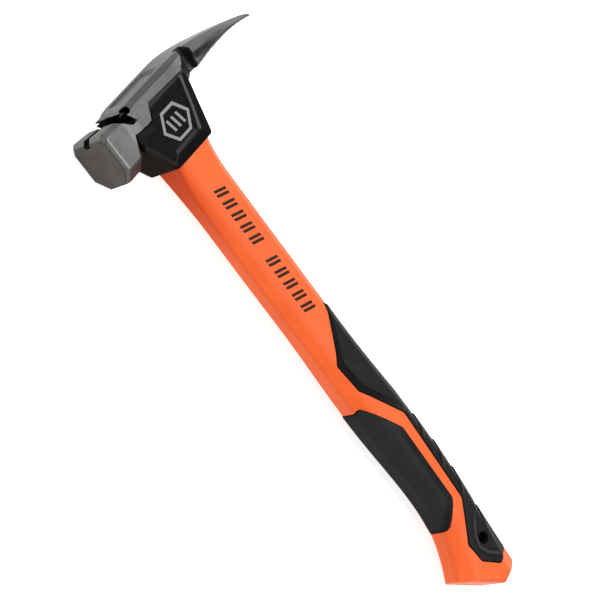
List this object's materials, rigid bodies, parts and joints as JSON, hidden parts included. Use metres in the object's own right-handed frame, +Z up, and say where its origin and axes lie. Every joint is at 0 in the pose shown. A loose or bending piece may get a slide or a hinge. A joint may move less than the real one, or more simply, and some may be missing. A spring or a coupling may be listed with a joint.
{
  "type": "claw hammer",
  "caption": "Straight-claw nail hammer: forged steel head with side nail puller, fibreglass-cored jacketed handle with rubber grip pads, lying on its side.",
  "frame": {"origin": "bottom centre of the bounding box, with the hammer lying on its side", "axes": "+X runs down the handle from the head to the butt, -Y is the way the striking face looks and +Y the way the claw points, +Z is up and is the side with the side nail puller"},
  "size_m": [0.3755, 0.1442, 0.0322],
  "materials": {
    "forged_steel": "forged steel, fine ground and clear coated",
    "magnet": "plated disc magnet",
    "fibreglass": "pultruded glass fibre in resin",
    "epoxy": "cast epoxy",
    "collar_plastic": "black moulded polymer, fine texture",
    "jacket_plastic": "satin orange polymer with a black printed mark",
    "grip_rubber": "soft matte overmoulded rubber"
  },
  "bodies": {
    "root": {"hammer_head": "forged_steel", "nail_magnet": "magnet", "fibreglass_core": "fibreglass", "eye_epoxy": "epoxy", "overstrike_collar": "collar_plastic", "handle_jacket": "jacket_plastic", "front_grip_pad": "grip_rubber", "rear_grip_pad": "grip_rubber"}
  },
  "joints": []
}
